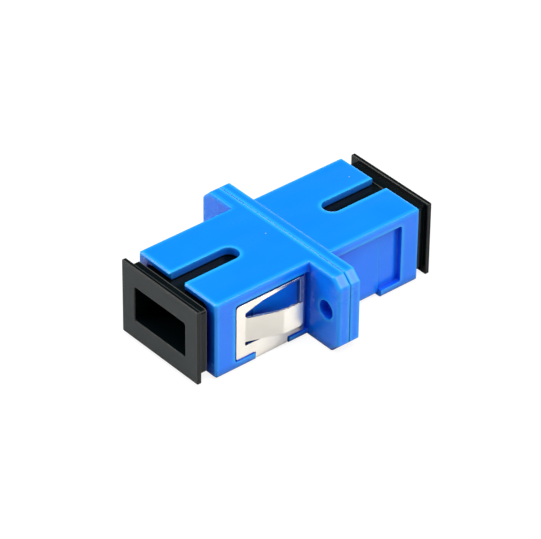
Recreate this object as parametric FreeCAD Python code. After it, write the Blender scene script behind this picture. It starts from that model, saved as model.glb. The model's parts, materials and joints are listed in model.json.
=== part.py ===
"""Simplex SC fibre adapter with a screw flange, a spring panel clip and two dust caps.

Frame, in millimetres: X along the flange, Y along the fibre, Z up with the keyways on top.
The origin is midway between the two ports' mouths and midway across the flange, at the level
of the clip's underside. Each piece is drawn with the weld seam between the two halves at
y = 0 and its port facing -Y. A rear piece is turned about, and then all are moved into place.
"""
import FreeCAD, Part
import math
import os

from collections import namedtuple
from FreeCAD import Vector

# ---------------------------------------------------------------- housing halves
body_width = 12.6
body_height = 9.3
front_length = 13.97             # seam to the port's mouth
rear_length = 13.88
rear_body_drop = 0.15            # the rear body's top lies this far under its flange
top_edge_radius = 0.3
bottom_edge_radius = 0.3
mouth_edge_chamfer = 0.22
port_width = 9.1
port_height = 7.4
port_corner_radius = 0.3
port_lead_in = 0.3

flange_width = 22.2
flange_foot = 0.15               # the flange reaches this far under the body
front_flange_thickness = 1.55
rear_flange_thickness = 1.35
flange_corner_chamfer = 1.12
front_flange_edge_radius = 0.32
rear_flange_edge_radius = 0.15
seam_chamfer = 0.1
screw_hole_inset = 2.1           # flange's end to the hole's centre
screw_hole_radius = 1.05
screw_hole_chamfer = 0.1
locating_peg_radius = 0.5
locating_peg_length = 0.8
locating_peg_inset = 1.9         # from the flange's end and from the body's underside
locating_clearance = 0.05

keyway_width = 2.26
keyway_end_distance = 7.05       # seam to the centre of the keyway's round end
keyway_lead_in = 0.15

# ---------------------------------------------------------------- seat of the panel clip
recess_depth = 0.55
recess_end = 11.36               # seam to the recess's outer end
recess_top_margin = 1.28         # recess to the front body's top
inner_ledge_height = 0.7         # from the flange to the middle of the wrap channel
outer_ledge_height = 0.88        # from there to the recess's outer end
recess_corner_radius = 0.3
outer_pad_sink = 0.08            # the recess is this much deeper beyond the wrap channel
channel_start = 4.05             # seam to the channel that the clip's strap runs in
channel_length = 4.6
channel_depth = 0.25

# ---------------------------------------------------------------- panel clip
clip_thickness = 0.35
clip_seat_clearance = 0.05
clip_end_gap = 0.25              # clip to the outer end of its recess
clip_flange_gap = 0.45
clip_top_gap = 0.37
clip_corner_radius = 0.3
clip_notch_radius = 0.05         # where the strap leaves the side
clip_bend_radius = 0.15          # inside, where the strap turns up each side
strap_side_clearance = 0.15
clip_top_rail = 0.2              # at the rear bar
clip_top_rail_taper = 0.38       # the rail is this much wider at the upper slot's ramp
clip_rear_bar = 0.55
clip_front_bar = 1.17
tab_height = 2.93
tab_bottom_height = 2.82
tab_crease_distance = 5.9        # seam to the tab's crease
tab_tip_distance = 3.42          # seam to the tab's tip
tab_rise = 1.45                  # at the crease, over the clip's side
tab_tip_rise = 0.05              # from the crease to the tip
tab_bend_radius = 0.6
tab_tip_radius = 0.5             # lower corner of the tip
tab_tip_top_radius = 0.17
lower_slot_width = 0.52          # cut beside the tab, at its root
upper_slot_width = 0.4
slot_end_radius = 0.18
slot_neck = 0.1                  # straight length of each slot's end beside the tab's root
upper_slot_rise = 0.28           # the tab's upper edge climbs this much towards its root
upper_slot_ramp = 2.4            # length over which the upper slot widens to the top rail

# ---------------------------------------------------------------- latch inserts and sleeve
insert_side_rim = 0.8            # the plate is this much wider than the port, each side
insert_top_rim = 0.05            # and this much higher, above and below
insert_plate_thickness = 1.0
insert_clearance = 0.05
insert_corner_radius = 0.4
holder_wall = 0.625
holder_lip = 0.3
holder_lip_chamfer = 0.15
lip_overlap = 0.18               # how far the lip covers the end of the sleeve's wall
sleeve_bore_radius = 1.25
sleeve_wall = 0.35
sleeve_length = 11.4
sleeve_slit = 0.4
sleeve_edge_chamfer = 0.1
sleeve_clearance = 0.075         # radial, and at each end
hook_wall_gap = 0.85             # port's side wall to the hook
hook_thickness = 0.75
hook_height = 3.6
hook_length = 8.7                # seam to the hook's tip
hook_barb = 0.55
hook_barb_land = 0.4
hook_barb_slope = 0.14           # length over which the barb's back rises
hook_barb_radius = 0.05
hook_lead_in = 0.75
hook_tip_face = 0.5              # width of the flat at the tip
hook_tip_radius = 0.1
hook_corner_radius = 0.15
hook_gusset = 0.3                # height of the fillet at the hook's root

# ---------------------------------------------------------------- dust caps
cap_clearance = 0.05             # plug to port, all round
cap_plug_inner_end = 5.5         # seam to the plug's inner end
cap_plug_lead_in = 0.25
cap_front_stand_off = 0.63       # collar to the body's end
cap_rear_stand_off = 0.09
cap_collar_length = 1.15
cap_collar_inset = 0.6           # plate's edge to collar
cap_collar_radius = 0.35
cap_plate_thickness = 0.52
cap_plate_shortfall = 0.2        # the plate is this much narrower and lower than the body
cap_plate_offset = 0.17          # plate's middle to the plug's
cap_corner_radius = 0.2
cap_edge_chamfer = 0.08
pocket_width = 8.25
pocket_height = 4.24
pocket_corner_radius = 0.3
pocket_edge_chamfer = 0.08
cap_web = 0.8
cap_inner_wall = 0.6
cap_hook_clearance = 0.4         # hook's tip to the web

# ---------------------------------------------------------------- sizes that follow from those
axis_height = body_height / 2
side = body_width / 2
screw_x = flange_width / 2 - screw_hole_inset
peg_x = flange_width / 2 - locating_peg_inset
seam_y = (front_length - rear_length) / 2    # the seam, from midway between the mouths
recess_floor = side - recess_depth
recess_top = body_height - recess_top_margin
channel_end = channel_start + channel_length
clip_inner = recess_floor + clip_seat_clearance
clip_outer = clip_inner + clip_thickness
strap_top = channel_depth - clip_seat_clearance
strap_bottom = strap_top - clip_thickness
lift = -strap_bottom             # stands the clip's underside on z = 0
tab_top_height = tab_bottom_height + tab_height
clip_rear = front_flange_thickness + clip_flange_gap
clip_front = recess_end - clip_end_gap
clip_top = recess_top - clip_top_gap
strap_start = channel_start + strap_side_clearance
strap_end = channel_end - strap_side_clearance
strap_bend = clip_bend_radius + clip_thickness
tab_root = clip_front - clip_front_bar
tab_neck = tab_root - slot_end_radius - slot_neck
tab_root_top = tab_top_height + upper_slot_rise
insert_plate_width = port_width + 2 * insert_side_rim
insert_plate_height = port_height + 2 * insert_top_rim
insert_seat_depth = insert_plate_thickness + insert_clearance
sleeve_radius = sleeve_bore_radius + sleeve_wall
holder_bore_radius = sleeve_radius + sleeve_clearance
holder_bore_end = sleeve_length / 2 + sleeve_clearance
holder_end = holder_bore_end + holder_lip
holder_radius = holder_bore_radius + holder_wall
lip_bore_radius = sleeve_radius - lip_overlap
hook_outer_face = port_width / 2 - hook_wall_gap
hook_inner_face = hook_outer_face - hook_thickness
plug_width = port_width - 2 * cap_clearance
plug_height = port_height - 2 * cap_clearance
web_start = hook_length + cap_hook_clearance
web_end = web_start + cap_web
cap_plate_width = body_width - cap_plate_shortfall
cap_plate_height = body_height - cap_plate_shortfall
overshoot = 1.0                  # how far a cutter runs past the face that it starts from
big = 4 * front_length           # longer than anything that a cutter has to pass through

Half = namedtuple("Half", "length top flange_thickness flange_edge_radius")
front = Half(front_length, body_height, front_flange_thickness, front_flange_edge_radius)
rear = Half(
    rear_length, body_height - rear_body_drop, rear_flange_thickness, rear_flange_edge_radius)


# ---------------------------------------------------------------- drawing helpers
def block(x0, x1, y0, y1, z0, z1):
    return Part.makeBox(x1 - x0, y1 - y0, z1 - z0, Vector(x0, y0, z0))


def rod(radius, y0, y1, x=0.0, z=axis_height):
    return Part.makeCylinder(radius, y1 - y0, Vector(x, y0, z), Vector(0, 1, 0))


def rounded_wire(corners):
    """Closed wire through (point, radius) corners, each rounded by a tangent arc."""
    edges = []
    previous_end = None
    first_start = None
    count = len(corners)
    for index, (point, radius) in enumerate(corners):
        back = (corners[index - 1][0] - point).normalize()
        ahead = (corners[(index + 1) % count][0] - point).normalize()
        half_angle = back.getAngle(ahead) / 2
        if radius > 0:
            reach = radius / math.tan(half_angle)
            start = point + back * reach
            end = point + ahead * reach
            middle_direction = (back + ahead).normalize()
            middle = point + middle_direction * (radius / math.sin(half_angle) - radius)
            corner_edge = Part.Arc(start, middle, end).toShape()
        else:
            start = point
            end = point
            corner_edge = None
        if previous_end is not None:
            edges.append(Part.makeLine(previous_end, start))
        else:
            first_start = start
        if corner_edge:
            edges.append(corner_edge)
        previous_end = end
    edges.append(Part.makeLine(previous_end, first_start))
    return Part.Wire(edges)


def plate_along_y(corners, y0, y1):
    """Prism along Y from (x, z, radius) corners."""
    wire = rounded_wire([(Vector(x, y0, z), radius) for x, z, radius in corners])
    return Part.Face(wire).extrude(Vector(0, y1 - y0, 0))


def plate_along_x(corners, x0, x1):
    """Prism along X from (distance from the seam, z, radius) corners."""
    wire = rounded_wire([(Vector(x0, -distance, z), radius) for distance, z, radius in corners])
    return Part.Face(wire).extrude(Vector(x1 - x0, 0, 0))


def plate_along_z(corners, z0, z1):
    """Prism along Z from (x, distance from the seam, radius) corners."""
    wire = rounded_wire([(Vector(x, -distance, z0), radius) for x, distance, radius in corners])
    return Part.Face(wire).extrude(Vector(0, 0, z1 - z0))


def rounded_bar(width, height, y0, y1, radius, centre=axis_height):
    """Bar along Y with a rounded rectangular section."""
    low = centre - height / 2
    high = centre + height / 2
    end = width / 2
    corners = [(-end, low, radius), (end, low, radius), (end, high, radius), (-end, high, radius)]
    return plate_along_y(corners, y0, y1)


def edges_on_plane_y(shape, y):
    """Edges that lie in the plane at y."""
    chosen = []
    for edge in shape.Edges:
        bounds = edge.BoundBox
        if abs(bounds.YMin - y) < 1e-4 and abs(bounds.YMax - y) < 1e-4:
            chosen.append(edge)
    return chosen


def flared_bore(width, height, mouth, inner_end, radius, flare, centre=axis_height):
    """What a rounded rectangular hole takes out, with a chamfer round its mouth."""
    start = mouth - overshoot
    bore = rounded_bar(width, height, start, inner_end, radius, centre)
    rim = rounded_bar(
        width + 2 * flare, height + 2 * flare, start, mouth + flare, radius + flare, centre)
    rim = rim.makeChamfer(flare, edges_on_plane_y(rim, mouth + flare))
    return bore.fuse(rim)


def both_sides(shape):
    """The shape and its mirror image in the plane of the keyways."""
    return shape.fuse(shape.mirror(Vector(0, 0, 0), Vector(1, 0, 0)))


def turned_to_rear(shape):
    turned = shape.copy()
    turned.rotate(Vector(0, 0, 0), Vector(0, 0, 1), 180)
    return turned


def turned_over_to_rear(shape):
    turned = shape.copy()
    turned.rotate(Vector(0, 0, axis_height), Vector(1, 0, 0), 180)
    return turned


# ---------------------------------------------------------------- housing half
def body_block(half):
    corners = [
        (-side, 0, bottom_edge_radius),
        (side, 0, bottom_edge_radius),
        (side, half.top, top_edge_radius),
        (-side, half.top, top_edge_radius),
    ]
    shape = plate_along_y(corners, -half.length, 0)
    return shape.makeChamfer(mouth_edge_chamfer, edges_on_plane_y(shape, -half.length))


def flange(half):
    end = flange_width / 2
    cut = flange_corner_chamfer
    bottom = -flange_foot
    radius = half.flange_edge_radius
    corners = [
        (-end + cut, bottom, radius),
        (end - cut, bottom, radius),
        (end, bottom + cut, radius),
        (end, body_height - cut, radius),
        (end - cut, body_height, radius),
        (-end + cut, body_height, radius),
        (-end, body_height - cut, radius),
        (-end, bottom + cut, radius),
    ]
    shape = plate_along_y(corners, -half.flange_thickness, 0)
    shape = shape.makeFillet(radius, edges_on_plane_y(shape, -half.flange_thickness))
    return shape.makeChamfer(seam_chamfer, edges_on_plane_y(shape, 0))


def screw_holes(half):
    hole = rod(screw_hole_radius, -big, big, screw_x)
    wide = screw_hole_radius + screw_hole_chamfer
    mouth = Part.makeCone(
        wide, screw_hole_radius, screw_hole_chamfer,
        Vector(screw_x, -half.flange_thickness, axis_height), Vector(0, 1, 0))
    return both_sides(hole.fuse(mouth))


def locating_peg():
    return rod(locating_peg_radius, 0, locating_peg_length, peg_x, locating_peg_inset)


def locating_hole():
    """Takes the other half's peg."""
    radius = locating_peg_radius + locating_clearance
    depth = locating_peg_length + locating_clearance
    return rod(radius, -depth, 0, -peg_x, locating_peg_inset)


def clip_recess(half):
    """Recess in the right flank: the clip's side lies in it, and its outer end is a pad."""
    low = inner_ledge_height
    step = channel_start + channel_length / 2
    radius = recess_corner_radius
    outline = [
        (half.flange_thickness, low, 0),
        (step, low, 0),
        (step, outer_ledge_height, 0),
        (recess_end, outer_ledge_height, radius),
        (recess_end, recess_top, radius),
        (half.flange_thickness, recess_top, 0),
    ]
    recess = plate_along_x(outline, recess_floor, side + recess_depth)
    pad_outline = [
        (channel_end, outer_ledge_height, 0),
        (recess_end, outer_ledge_height, radius),
        (recess_end, recess_top, radius),
        (channel_end, recess_top, 0),
    ]
    pad = plate_along_x(pad_outline, recess_floor - outer_pad_sink, side + recess_depth)
    return recess.fuse(pad)


def strap_channel():
    """Channel round the body's underside for the clip's strap, with its inner corners rounded."""
    around = block(-big, big, -channel_end, -channel_start, -big, outer_ledge_height)
    core_radius = clip_bend_radius + clip_seat_clearance
    core = [
        (-recess_floor, channel_depth, core_radius),
        (recess_floor, channel_depth, core_radius),
        (recess_floor, body_height, 0),
        (-recess_floor, body_height, 0),
    ]
    inside = plate_along_y(core, -channel_end - overshoot, -channel_start + overshoot)
    return around.cut(inside)


def port(half):
    """The plug's way in, with a lead-in at its mouth, and the wider seat of the latch insert."""
    bore = flared_bore(
        port_width, port_height, -half.length, 0, port_corner_radius, port_lead_in)
    seat = rounded_bar(
        insert_plate_width + 2 * insert_clearance, insert_plate_height + 2 * insert_clearance,
        -insert_seat_depth, overshoot, insert_corner_radius)
    return bore.fuse(seat)


def keyway(half):
    """Slot through the top wall, round at its inner end and flared at the mouth."""
    radius = keyway_width / 2
    wide = radius + keyway_lead_in
    slot = block(-radius, radius, -big, -keyway_end_distance, axis_height, big)
    end = Part.makeCylinder(radius, big, Vector(0, -keyway_end_distance, axis_height))
    flare = plate_along_z([
        (-wide, half.length + keyway_lead_in, 0),
        (wide, half.length + keyway_lead_in, 0),
        (wide, half.length, 0),
        (radius, half.length - keyway_lead_in, 0),
        (-radius, half.length - keyway_lead_in, 0),
        (-wide, half.length, 0),
    ], axis_height, big)
    return slot.fuse([end, flare])


def housing(half):
    shape = body_block(half).fuse([flange(half), locating_peg()])
    shape = shape.cut([port(half), keyway(half), screw_holes(half), locating_hole()])
    shape = shape.cut([both_sides(clip_recess(half)), strap_channel()])
    return shape.removeSplitter()


# ---------------------------------------------------------------- panel clip
def parallel_path(points, distance):
    """The path of (x, distance from the seam) points moved sideways towards the body."""
    moved = []
    for index, (x, along) in enumerate(points):
        x0, along0 = points[max(index - 1, 0)]
        x1, along1 = points[min(index + 1, len(points) - 1)]
        directions = []
        for dx, dy in ((x - x0, along - along0), (x1 - x, along1 - along)):
            length = math.hypot(dx, dy)
            if length > 0:
                directions.append((dx / length, dy / length))
        first, last = directions[0], directions[-1]
        tangent = (first[0] + last[0], first[1] + last[1])
        size = math.hypot(*tangent)
        tangent = (tangent[0] / size, tangent[1] / size)
        mitre = distance / (tangent[0] * first[0] + tangent[1] * first[1])
        moved.append((x + tangent[1] * mitre, along - tangent[0] * mitre))
    return moved


def clip_side_outline():
    low_rear = inner_ledge_height + clip_seat_clearance
    low_front = outer_ledge_height + clip_seat_clearance
    strap_top_edge = strap_bottom + strap_bend
    radius = clip_corner_radius
    return [
        (clip_rear, clip_top, 0),
        (clip_rear, low_rear, 0),
        (strap_start, low_rear, clip_notch_radius),
        (strap_start, strap_top_edge, 0),
        (strap_end, strap_top_edge, 0),
        (strap_end, low_front, clip_notch_radius),
        (clip_front, low_front, radius),
        (clip_front, clip_top, radius),
    ]


def clip_window():
    """Opening round the tab: a slot under it, a widening slot over it, and a gap at its tip."""
    bar = clip_rear + clip_rear_bar
    rail = clip_top - clip_top_rail
    radius = slot_end_radius
    low = tab_bottom_height - lower_slot_width
    outline = [
        (bar, low, radius),
        (tab_root, low, radius),
        (tab_root, tab_bottom_height, radius),
        (tab_neck, tab_bottom_height, 0),
        (tab_neck, tab_top_height, 0),
        (tab_root, tab_root_top, radius),
        (tab_root, tab_root_top + upper_slot_width, radius),
        (tab_root - upper_slot_ramp, rail - clip_top_rail_taper, radius),
        (bar, rail, radius),
    ]
    return plate_along_x(outline, clip_inner - clip_thickness, clip_outer + clip_thickness)


def clip_tab():
    """Tab that rises out of the side, then runs level to its tip in front of the flange."""
    crease = clip_outer + tab_rise
    outer = [
        (clip_outer, tab_root + slot_end_radius),
        (clip_outer, tab_root),
        (crease, tab_crease_distance),
        (crease + tab_tip_rise, tab_tip_distance),
    ]
    inner = parallel_path(outer, clip_thickness)
    outer_radii = [0, tab_bend_radius, tab_bend_radius + clip_thickness, 0]
    inner_radii = [0, tab_bend_radius + clip_thickness, tab_bend_radius, 0]
    corners = [(x, along, radius) for (x, along), radius in zip(outer, outer_radii)]
    corners += [(x, along, radius) for (x, along), radius in zip(inner, inner_radii)][::-1]
    strip = plate_along_z(corners, tab_bottom_height, tab_root_top)
    side_view = plate_along_x([
        (tab_root + overshoot, tab_bottom_height, 0),
        (tab_tip_distance, tab_bottom_height, tab_tip_radius),
        (tab_tip_distance, tab_top_height, tab_tip_top_radius),
        (tab_neck, tab_top_height, 0),
        (tab_root, tab_root_top, 0),
        (tab_root + overshoot, tab_root_top, 0),
    ], 0, big)
    return strip.common(side_view)


def clip_strap():
    """Strap across the underside, bent up to both sides."""
    outside = plate_along_y([
        (-clip_outer, strap_bottom, strap_bend),
        (clip_outer, strap_bottom, strap_bend),
        (clip_outer, big, 0),
        (-clip_outer, big, 0),
    ], -strap_end, -strap_start)
    inside = plate_along_y([
        (-clip_inner, strap_top, clip_bend_radius),
        (clip_inner, strap_top, clip_bend_radius),
        (clip_inner, big, 0),
        (-clip_inner, big, 0),
    ], -strap_end, -strap_start)
    keep = block(-big, big, -strap_end, -strap_start, strap_bottom, strap_bottom + strap_bend)
    return outside.cut(inside).common(keep)


def panel_clip():
    side_plate = plate_along_x(clip_side_outline(), clip_inner, clip_outer).cut(clip_window())
    shape = both_sides(side_plate.fuse(clip_tab())).fuse(clip_strap())
    return shape.removeSplitter()


# ---------------------------------------------------------------- latch insert
def latch_hook():
    """Springy arm with a barb that faces the axis, and a sloped tip."""
    inner = hook_inner_face
    outer = hook_outer_face
    root = insert_plate_thickness / 2
    barb_face = inner - hook_barb
    barb_start = hook_length - hook_lead_in - hook_barb_land
    low = axis_height - hook_height / 2
    arm = plate_along_z([
        (inner, root, 0),
        (inner, barb_start - hook_barb_slope, hook_corner_radius),
        (barb_face, barb_start, hook_barb_radius),
        (barb_face, barb_start + hook_barb_land, hook_corner_radius),
        (outer - hook_tip_face, hook_length, hook_tip_radius),
        (outer, hook_length, hook_corner_radius),
        (outer, root, 0),
    ], low, low + hook_height)
    gusset = plate_along_z([
        (inner - hook_gusset, insert_plate_thickness, 0),
        (inner, insert_plate_thickness + 2 * hook_gusset, 0),
        (outer, insert_plate_thickness + 2 * hook_gusset, 0),
        (outer + hook_gusset, insert_plate_thickness, 0),
    ], low, low + hook_height)
    return arm.fuse(gusset)


def latch_insert():
    plate = rounded_bar(
        insert_plate_width, insert_plate_height, -insert_plate_thickness, 0, insert_corner_radius)
    holder = rod(holder_radius, -holder_end, 0)
    holder = holder.makeChamfer(holder_lip_chamfer, edges_on_plane_y(holder, -holder_end))
    shape = plate.fuse([holder, both_sides(latch_hook())])
    sleeve_bore = rod(holder_bore_radius, -holder_bore_end, overshoot)
    lip_bore = rod(lip_bore_radius, -holder_end - overshoot, 0)
    return shape.cut([sleeve_bore, lip_bore]).removeSplitter()


def alignment_sleeve():
    """Ceramic tube, slit along its length so that it grips both ferrules."""
    half = sleeve_length / 2
    tube = rod(sleeve_radius, -half, half)
    rims = edges_on_plane_y(tube, -half) + edges_on_plane_y(tube, half)
    tube = tube.makeChamfer(sleeve_edge_chamfer, rims)
    bore = rod(sleeve_bore_radius, -half - overshoot, half + overshoot)
    slit = block(-sleeve_slit / 2, sleeve_slit / 2, -big, big, axis_height, big)
    return tube.cut([bore, slit])


# ---------------------------------------------------------------- dust cap
def dust_cap(half, stand_off):
    """Plug with a collar, a cover plate and a pocket, hollow behind its web for the hooks."""
    collar_start = half.length + stand_off
    plate_start = collar_start + cap_collar_length
    outer_face = plate_start + cap_plate_thickness
    centre = axis_height + cap_plate_offset
    plate = rounded_bar(
        cap_plate_width, cap_plate_height, -outer_face, -plate_start, cap_corner_radius, centre)
    rim = edges_on_plane_y(plate, -outer_face) + edges_on_plane_y(plate, -plate_start)
    plate = plate.makeChamfer(cap_edge_chamfer, rim)
    collar = rounded_bar(
        cap_plate_width - 2 * cap_collar_inset, cap_plate_height - 2 * cap_collar_inset,
        -plate_start - cap_plate_thickness / 2, -collar_start, cap_collar_radius, centre)
    plug = rounded_bar(
        plug_width, plug_height, -plate_start, -cap_plug_inner_end, port_corner_radius)
    plug = plug.makeChamfer(cap_plug_lead_in, edges_on_plane_y(plug, -cap_plug_inner_end))
    hollow = rounded_bar(
        plug_width - 2 * cap_inner_wall, plug_height - 2 * cap_inner_wall,
        -web_start, 0, port_corner_radius)
    pocket = flared_bore(
        pocket_width, pocket_height, -outer_face, -web_end, pocket_corner_radius,
        pocket_edge_chamfer, centre)
    shape = plug.fuse([collar, plate]).cut([hollow, pocket])
    return shape.removeSplitter()


# ---------------------------------------------------------------- pieces and files
def pieces():
    front_insert = latch_insert()
    return {
        "front_housing": housing(front),
        "rear_housing": turned_to_rear(housing(rear)),
        "front_latch_insert": front_insert,
        "rear_latch_insert": turned_to_rear(front_insert),
        "alignment_sleeve": alignment_sleeve(),
        "panel_clip": panel_clip(),
        "front_dust_cap": dust_cap(front, cap_front_stand_off),
        "rear_dust_cap": turned_over_to_rear(dust_cap(rear, cap_rear_stand_off)),
    }


def main():
    os.makedirs("parts", exist_ok=True)
    for name, shape in pieces().items():
        shape.translate(Vector(0, seam_y, lift))
        solids = shape.Solids
        print(name, "solids", len(solids), "valid", shape.isValid(), "mm3", round(shape.Volume, 2))
        solid = solids[0] if len(solids) == 1 else shape
        solid.exportStep("parts/" + name + ".step")


main()
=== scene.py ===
"""Looks of the SC fibre adapter: finishes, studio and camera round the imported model."""
import bpy
import json
import math
from mathutils import Matrix, Vector


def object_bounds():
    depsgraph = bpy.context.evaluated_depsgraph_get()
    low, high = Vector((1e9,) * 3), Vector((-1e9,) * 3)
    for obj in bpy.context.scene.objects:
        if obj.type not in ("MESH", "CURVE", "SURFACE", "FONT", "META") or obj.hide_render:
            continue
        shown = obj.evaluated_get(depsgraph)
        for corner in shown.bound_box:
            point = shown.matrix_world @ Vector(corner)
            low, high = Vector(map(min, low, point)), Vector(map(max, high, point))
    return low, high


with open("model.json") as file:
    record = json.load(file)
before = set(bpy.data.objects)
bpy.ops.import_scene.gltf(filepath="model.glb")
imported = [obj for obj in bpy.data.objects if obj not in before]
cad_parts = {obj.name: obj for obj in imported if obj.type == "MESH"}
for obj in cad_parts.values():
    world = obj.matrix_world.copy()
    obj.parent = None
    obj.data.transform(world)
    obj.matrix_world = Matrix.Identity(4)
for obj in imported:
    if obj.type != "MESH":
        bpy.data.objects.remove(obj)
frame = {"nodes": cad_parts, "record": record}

MM = 0.001
cad_low, cad_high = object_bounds()
centre = (cad_low + cad_high) / 2

# ---------------------------------------------------------------- camera
CAMERA_AZIMUTH = math.radians(49.45)
CAMERA_ELEVATION = math.radians(35.52)
CAMERA_ROLL = math.radians(0.66)
CAMERA_DISTANCE = 383.7 * MM
CAMERA_AIM = centre + Vector((-0.345, -0.762, -0.236)) * MM
SENSOR_WIDTH = 36.0      # mm, like the focal length
FOCAL_LENGTH = 243.36
CLIP_RATIO = 100         # the camera sees from its distance over this to its distance times this

# ---------------------------------------------------------------- studio
FLOOR_SIZE = 3000 * MM
FLOOR_ROUGHNESS = 0.15
GLOW_COLOUR = (1, 1, 1, 1)
# Floors: name, height in mm, colour, glow, specular level, and whether the camera meets the sheet;
# the other rays meet the one that the camera doesn't.
FLOORS = (
    ("floor", 0, (0.16, 0.16, 0.16, 1), 0.88, 0.1, True),
    ("floor_bounce", -0.05, (0.72, 0.71, 0.69, 1), 0, 0.5, False),
)
WORLD_COLOUR = (0.93, 0.96, 1.0, 1)
WORLD_STRENGTH = 0.06

# Softboxes: name, azimuth and elevation in degrees, distance and size in mm, radiant power in watts.
SOFTBOXES = (
    ("overhead_box", 60, 78, 420, 300, 1.75),
    ("right_box", 122, 40, 420, 190, 0.85),
    ("left_front_box", -38, 40, 460, 200, 1.12),
    ("rim_box", -140, 9, 500, 220, 0.26),
)


def direction(azimuth, elevation):
    """Unit vector towards a point round the object; azimuth 0 is the front, -Y."""
    level = math.cos(elevation)
    return Vector((math.sin(azimuth) * level, -math.cos(azimuth) * level, math.sin(elevation)))


def add_camera():
    back = direction(CAMERA_AZIMUTH, CAMERA_ELEVATION)
    right = Vector((0, 0, 1)).cross(back).normalized()
    up = back.cross(right)
    rolled_right = right * math.cos(CAMERA_ROLL) + up * math.sin(CAMERA_ROLL)
    rolled_up = up * math.cos(CAMERA_ROLL) - right * math.sin(CAMERA_ROLL)
    data = bpy.data.cameras.new("photo_camera")
    data.sensor_width = SENSOR_WIDTH
    data.lens = FOCAL_LENGTH
    data.clip_start = CAMERA_DISTANCE / CLIP_RATIO
    data.clip_end = CAMERA_DISTANCE * CLIP_RATIO
    camera = bpy.data.objects.new("photo_camera", data)
    place = CAMERA_AIM + back * CAMERA_DISTANCE
    turn = Matrix((rolled_right, rolled_up, back)).transposed().to_4x4()
    camera.matrix_world = Matrix.Translation(place) @ turn
    bpy.context.scene.collection.objects.link(camera)
    bpy.context.scene.camera = camera


def add_softbox(name, azimuth, elevation, distance, size, power):
    data = bpy.data.lights.new(name, "AREA")
    data.shape = "SQUARE"
    data.size = size * MM
    data.energy = power
    light = bpy.data.objects.new(name, data)
    towards = direction(math.radians(azimuth), math.radians(elevation))
    light.location = centre + towards * distance * MM
    light.rotation_euler = towards.to_track_quat("Z", "Y").to_euler()
    bpy.context.scene.collection.objects.link(light)


def add_floor(name, height, colour, glow, specular, seen):
    """One sheet of the white sweep: the camera sees a glowing one, light bounces off a plain one below."""
    half = FLOOR_SIZE / 2
    level = height * MM
    mesh = bpy.data.meshes.new(name)
    corners = [(-half, -half, level), (half, -half, level), (half, half, level), (-half, half, level)]
    mesh.from_pydata(corners, [], [(0, 1, 2, 3)])
    floor = bpy.data.objects.new(name, mesh)
    floor.visible_camera = seen
    floor.visible_diffuse = not seen
    floor.visible_glossy = not seen
    floor.visible_shadow = not seen
    material = bpy.data.materials.new(name + "_paper")
    material.use_nodes = True
    shader = material.node_tree.nodes["Principled BSDF"]
    shader.inputs["Base Color"].default_value = colour
    shader.inputs["Emission Color"].default_value = GLOW_COLOUR
    shader.inputs["Emission Strength"].default_value = glow
    shader.inputs["Roughness"].default_value = FLOOR_ROUGHNESS
    shader.inputs["Specular IOR Level"].default_value = specular
    mesh.materials.append(material)
    bpy.context.scene.collection.objects.link(floor)


def add_world():
    world = bpy.data.worlds.new("studio")
    world.use_nodes = True
    background = world.node_tree.nodes["Background"]
    background.inputs["Color"].default_value = WORLD_COLOUR
    background.inputs["Strength"].default_value = WORLD_STRENGTH
    bpy.context.scene.world = world


# ---------------------------------------------------------------- materials
# Lengths here are in mm and colours are linear. Limits are the part of a pattern that is spread out.
SHADE_SAMPLES = 8                 # rays of each openness or thickness pattern
BEVEL_SAMPLES = 6
MIX_FIRST, MIX_SECOND, MIX_RESULT = 6, 7, 2     # the colour sockets of a Mix node
PATTERN_MIDDLE = (0.3, 0.7)       # where a noise has most of its values
FACING_LIMITS = (0.85, 0.95)      # cosines between which a face comes to look out

DRIFT_SIZE = 6.0
RIM_HIGHLIGHT_LIMITS = (0.55, 1.0)          # thickness over which the painted edge highlight fades out
ROOM_REACH = 5.0
CORNER_SHADE_LIMITS = (0.45, 0.86)      # openness over which the painted shade in the corners deepens
HOLLOW_SHADE_LIMITS = (-0.3, 0.4)       # openness over which the painted shade in the hollows turns dark
CROWDING_REACH = 1.9
GAP_SHADE_LIMITS = (0.12, 0.65)         # crowding over which the painted shade in the gaps turns dark
DUST_COLOUR = (0.42, 0.50, 0.52, 1)
DUST_SPACING = 2.6
DUST_RADIUS = 0.05
DUST_SOFT_EDGE = 1.5              # how much wider a speck's faint outer edge is
DUST_CHANCE = (0.6, 0.9)          # most places in the pattern stay clean
GLOSS_SPREAD = 0.03               # how far the roughness strays to either side
STREAK_SIZE = 2.0
STREAK_STRETCH = (1.0, 0.25, 1.0)

# Relief layers: size of the features, detail, depth and strength.
MOULD_WAVES = (2.2, 1.0, 0.02, 0.3)
MOULD_GRAIN = (0.12, 2.0, 0.001, 0.4)
STRIP_WAVES = (1.6, 1.0, 0.01, 0.3)
STRIP_LINES = (0.12, 4.0, 0.001, 0.2)
SLEEVE_RINGS = (0.08, 2.0, 0.002, 0.4)

# Clip and sleeve: each colour pair drifts from one to the other, each roughness lies between two.
STRIP_DRIFT_SIZE = 2.5
STRIP_COLOURS = ((0.745, 0.71, 0.635, 1), (0.80, 0.765, 0.69, 1))
STRIP_STRETCH = (0.06, 0.06, 1.0)
STRIP_ROUGHNESS = (0.2, 0.27)
STRIP_SOFT_EDGE = 0.06
SLEEVE_SPECULAR = 0.6
SLEEVE_DRIFT_SIZE = 1.5
SLEEVE_COLOURS = ((0.82, 0.80, 0.74, 1), (0.9, 0.89, 0.84, 1))
SLEEVE_STRETCH = (0.05, 1.0, 0.05)
SLEEVE_ROUGHNESS = (0.14, 0.24)
SLEEVE_SOFT_EDGE = 0.03
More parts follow.
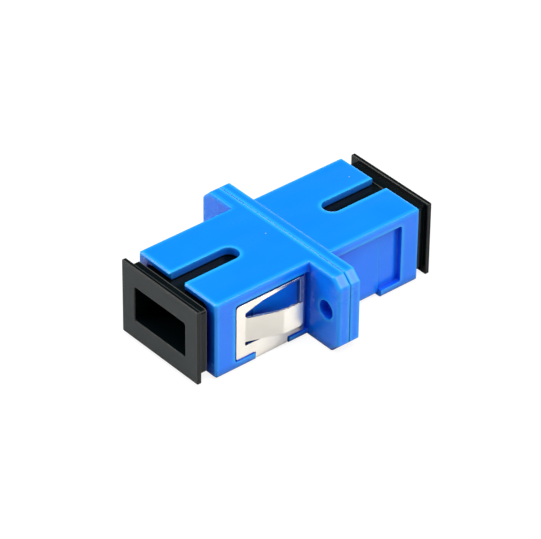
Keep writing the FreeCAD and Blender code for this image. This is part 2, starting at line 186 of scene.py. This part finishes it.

# Moulded plastics: two skin colours that drift into each other, a paler colour painted along the edges as
# highlight, a deeper one painted into nooks as shade, a dark one painted into gaps and hollows as shade,
# roughness, specular level, width of the painted edge highlight and of the soft edges, and a finish for
# end faces.
PLASTICS = {
    "blue_plastic": {
        "light": (0.002, 0.21, 1.0, 1), "dark": (0.001, 0.195, 0.97, 1),
        "edge_highlight": (0.018, 0.40, 1.0, 1),
        "corner_shade": (0.0, 0.065, 0.74, 1), "shade": (0.0, 0.007, 0.2, 1),
        "gloss": 0.25, "specular": 0.33, "rim": 0.6, "soft": 0.25,
    },
    "black_plastic": {
        "light": (0.002, 0.005, 0.006, 1), "dark": (0.001, 0.003, 0.004, 1),
        "edge_highlight": (0.09, 0.085, 0.075, 1), "matte": (0.0085, 0.0155, 0.017, 1),
        "corner_shade": (0.001, 0.003, 0.004, 1), "shade": (0.0005, 0.0005, 0.001, 1),
        "gloss": 0.2, "specular": 0.15, "rim": 0.15, "soft": 0.08,
    },
    "insert_plastic": {
        "light": (0.78, 0.77, 0.71, 1), "dark": (0.70, 0.69, 0.62, 1),
        "edge_highlight": (0.84, 0.83, 0.78, 1),
        "corner_shade": (0.62, 0.60, 0.53, 1), "shade": (0.42, 0.40, 0.34, 1),
        "gloss": 0.42, "specular": 0.4, "rim": 0.2, "soft": 0.08,
    },
}


class Surface:
    """A material under construction: a Principled shader and the patterns that drive it."""

    def __init__(self, name, **sockets):
        self.material = bpy.data.materials.new(name)
        self.material.use_nodes = True
        self.tree = self.material.node_tree
        self.shader = self.tree.nodes["Principled BSDF"]
        self.place = self.node("ShaderNodeTexCoord").outputs["Object"]
        for socket, value in sockets.items():
            self.shader.inputs[socket.replace("_", " ")].default_value = value

    def node(self, kind, **settings):
        made = self.tree.nodes.new(kind)
        for key, value in settings.items():
            setattr(made, key, value)
        return made

    def link(self, source, target):
        self.tree.links.new(source, target)

    def worked_out(self, operation, *values):
        """The result of a Math node on one or two patterns."""
        made = self.node("ShaderNodeMath", operation=operation)
        for socket, value in zip(made.inputs, values):
            self.link(value, socket)
        return made.outputs["Value"]

    def stretched(self, scale):
        """Coordinates scaled apart along X, Y and Z."""
        mapping = self.node("ShaderNodeMapping")
        mapping.inputs["Scale"].default_value = scale
        self.link(self.place, mapping.inputs["Vector"])
        return mapping.outputs["Vector"]

    def noise(self, feature_size, detail=2.0, vector=None):
        """Noise from 0 to 1 with features of about that size, in mm."""
        made = self.node("ShaderNodeTexNoise")
        made.inputs["Scale"].default_value = 1 / (feature_size * MM)
        made.inputs["Detail"].default_value = detail
        self.link(vector or self.place, made.inputs["Vector"])
        return made.outputs["Fac"]

    def spread(self, value, low, high, limits=PATTERN_MIDDLE):
        """Maps the part of a pattern between the limits onto low to high."""
        made = self.node("ShaderNodeMapRange")
        start, end = limits
        for socket, number in (("From Min", start), ("From Max", end), ("To Min", low), ("To Max", high)):
            made.inputs[socket].default_value = number
        self.link(value, made.inputs["Value"])
        return made.outputs["Result"]

    def mix(self, factor, first, second):
        """The first colour where the factor is 0, the second where it is 1."""
        made = self.node("ShaderNodeMix", data_type="RGBA")
        self.link(factor, made.inputs["Factor"])
        for socket, colour in ((made.inputs[MIX_FIRST], first), (made.inputs[MIX_SECOND], second)):
            if hasattr(colour, "is_linked"):
                self.link(colour, socket)
            else:
                socket.default_value = colour
        return made.outputs[MIX_RESULT]

    def drift(self, feature_size, first, second):
        """Two colours that pass slowly into each other."""
        return self.mix(self.spread(self.noise(feature_size), 0, 1), first, second)

    def layer(self, values, vector=None):
        """A relief layer (pattern, depth and strength) from its four named values."""
        size, detail, depth, strength = values
        return self.noise(size, detail, vector), depth, strength

    def openness(self, reach, own=True):
        """1 on open faces, falling towards 0 in corners and slots narrower than about the reach, in mm."""
        made = self.node("ShaderNodeAmbientOcclusion", samples=SHADE_SAMPLES, only_local=own)
        made.inputs["Distance"].default_value = reach * MM
        return made.outputs["AO"]

    def crowding(self, reach):
        """Up to 1 where another piece stands closer than the reach, in mm, in front of a face."""
        return self.worked_out("SUBTRACT", self.openness(reach), self.openness(reach, own=False))

    def facing_out(self):
        """1 on the faces that look out along the fibre, away from the middle, and 0 on the others."""
        side = self.worked_out("SIGN", self.along_fibre(self.place))
        faces = self.along_fibre(self.node("ShaderNodeTexCoord").outputs["Normal"])
        return self.spread(self.worked_out("MULTIPLY", side, faces), 0, 1, FACING_LIMITS)

    def along_fibre(self, vector):
        """The Y part of a vector."""
        parts = self.node("ShaderNodeSeparateXYZ")
        self.link(vector, parts.inputs["Vector"])
        return parts.outputs["Y"]

    def specks(self, spacing, radius):
        """1 in scattered round dust specks of about that radius, in mm, and 0 between them."""
        cells = self.node("ShaderNodeTexVoronoi")
        cells.inputs["Scale"].default_value = 1 / (spacing * MM)
        self.link(self.place, cells.inputs["Vector"])
        rim = radius / spacing
        dots = self.spread(cells.outputs["Distance"], 1, 0, (rim, DUST_SOFT_EDGE * rim))
        chance = self.node("ShaderNodeSeparateColor")
        self.link(cells.outputs["Color"], chance.inputs["Color"])
        kept = self.spread(chance.outputs["Red"], 0, 1, DUST_CHANCE)
        return self.worked_out("MULTIPLY", dots, kept)

    def thickness(self, reach):
        """1 where the wall goes on behind the face, falling along outer edges over the reach, in mm."""
        made = self.node(
            "ShaderNodeAmbientOcclusion", samples=SHADE_SAMPLES, inside=True, only_local=True)
        made.inputs["Distance"].default_value = reach * MM
        return made.outputs["AO"]

    def colour(self, source):
        self.link(source, self.shader.inputs["Base Color"])

    def roughness(self, source):
        self.link(source, self.shader.inputs["Roughness"])

    def relief(self, layers, edge_radius):
        """Bump layers (pattern, depth and strength) over edges softened by a radius; lengths in mm."""
        soft_edge = self.node("ShaderNodeBevel", samples=BEVEL_SAMPLES)
        soft_edge.inputs["Radius"].default_value = edge_radius * MM
        normal = soft_edge.outputs["Normal"]
        for pattern, depth, strength in layers:
            bump = self.node("ShaderNodeBump")
            bump.inputs["Distance"].default_value = depth * MM
            bump.inputs["Strength"].default_value = strength
            self.link(pattern, bump.inputs["Height"])
            self.link(normal, bump.inputs["Normal"])
            normal = bump.outputs["Normal"]
        self.link(normal, self.shader.inputs["Normal"])


def moulded_plastic(name, light, dark, edge_highlight, corner_shade, shade, gloss, specular, rim, soft, matte=None):
    """Moulded plastic: slow colour drift, a painted highlight along the edges, painted shade in corners,
    hollows and gaps, faint streaks and a fine grain.
    """
    surface = Surface(name, Specular_IOR_Level=specular)
    skin = surface.drift(DRIFT_SIZE, dark, light)
    if matte:
        skin = surface.mix(surface.facing_out(), skin, matte)
    # painted highlight: a paler colour faded in along the outer edges, where rounded edges catch the light
    rim_highlight = surface.spread(surface.thickness(rim), 1, 0, RIM_HIGHLIGHT_LIMITS)
    room = surface.openness(ROOM_REACH)
    # painted shade: a deeper, more saturated colour mixed into corners, where less light reaches
    corners = surface.spread(room, 1, 0, CORNER_SHADE_LIMITS)
    # painted shade: the dark shade colour laid into hollows and into gaps between pieces
    hollow_shade = surface.spread(room, 1, 0, HOLLOW_SHADE_LIMITS)
    gap_shade = surface.spread(surface.crowding(CROWDING_REACH), 0, 1, GAP_SHADE_LIMITS)
    skin = surface.mix(rim_highlight, skin, edge_highlight)
    skin = surface.mix(surface.specks(DUST_SPACING, DUST_RADIUS), skin, DUST_COLOUR)
    skin = surface.mix(corners, skin, corner_shade)
    surface.colour(surface.mix(surface.worked_out("MAXIMUM", hollow_shade, gap_shade), skin, shade))
    streaks = surface.noise(STREAK_SIZE, 1.0, surface.stretched(STREAK_STRETCH))
    surface.roughness(surface.spread(streaks, gloss - GLOSS_SPREAD, gloss + GLOSS_SPREAD))
    surface.relief([surface.layer(MOULD_WAVES), surface.layer(MOULD_GRAIN)], soft)
    return surface.material


def clip_steel():
    """Bright rolled strip: rolling lines along its length and a faint warm tint."""
    surface = Surface("clip_steel", Metallic=1.0)
    surface.colour(surface.drift(STRIP_DRIFT_SIZE, *STRIP_COLOURS))
    lines = surface.layer(STRIP_LINES, surface.stretched(STRIP_STRETCH))
    surface.roughness(surface.spread(lines[0], *STRIP_ROUGHNESS))
    surface.relief([surface.layer(STRIP_WAVES), lines], STRIP_SOFT_EDGE)
    return surface.material


def sleeve_ceramic():
    """Ground ceramic: nearly even white with fine rings round the tube."""
    surface = Surface("sleeve_ceramic", Specular_IOR_Level=SLEEVE_SPECULAR)
    surface.colour(surface.drift(SLEEVE_DRIFT_SIZE, *SLEEVE_COLOURS))
    rings = surface.layer(SLEEVE_RINGS, surface.stretched(SLEEVE_STRETCH))
    surface.roughness(surface.spread(rings[0], *SLEEVE_ROUGHNESS))
    surface.relief([rings], SLEEVE_SOFT_EDGE)
    return surface.material


def dress_nodes():
    """Gives each CAD node the finish of its material slot in the record."""
    finishes = {name: moulded_plastic(name, **values) for name, values in PLASTICS.items()}
    finishes["clip_steel"] = clip_steel()
    finishes["sleeve_ceramic"] = sleeve_ceramic()
    for subpart in frame["record"]["subparts"]:
        mesh = frame["nodes"][subpart["node"]].data
        mesh.materials.clear()
        mesh.materials.append(finishes[subpart["material_slot"]])


add_camera()
for floor_sheet in FLOORS:
    add_floor(*floor_sheet)
add_world()
for softbox in SOFTBOXES:
    add_softbox(*softbox)
bpy.context.scene.view_settings.view_transform = "Standard"
dress_nodes()
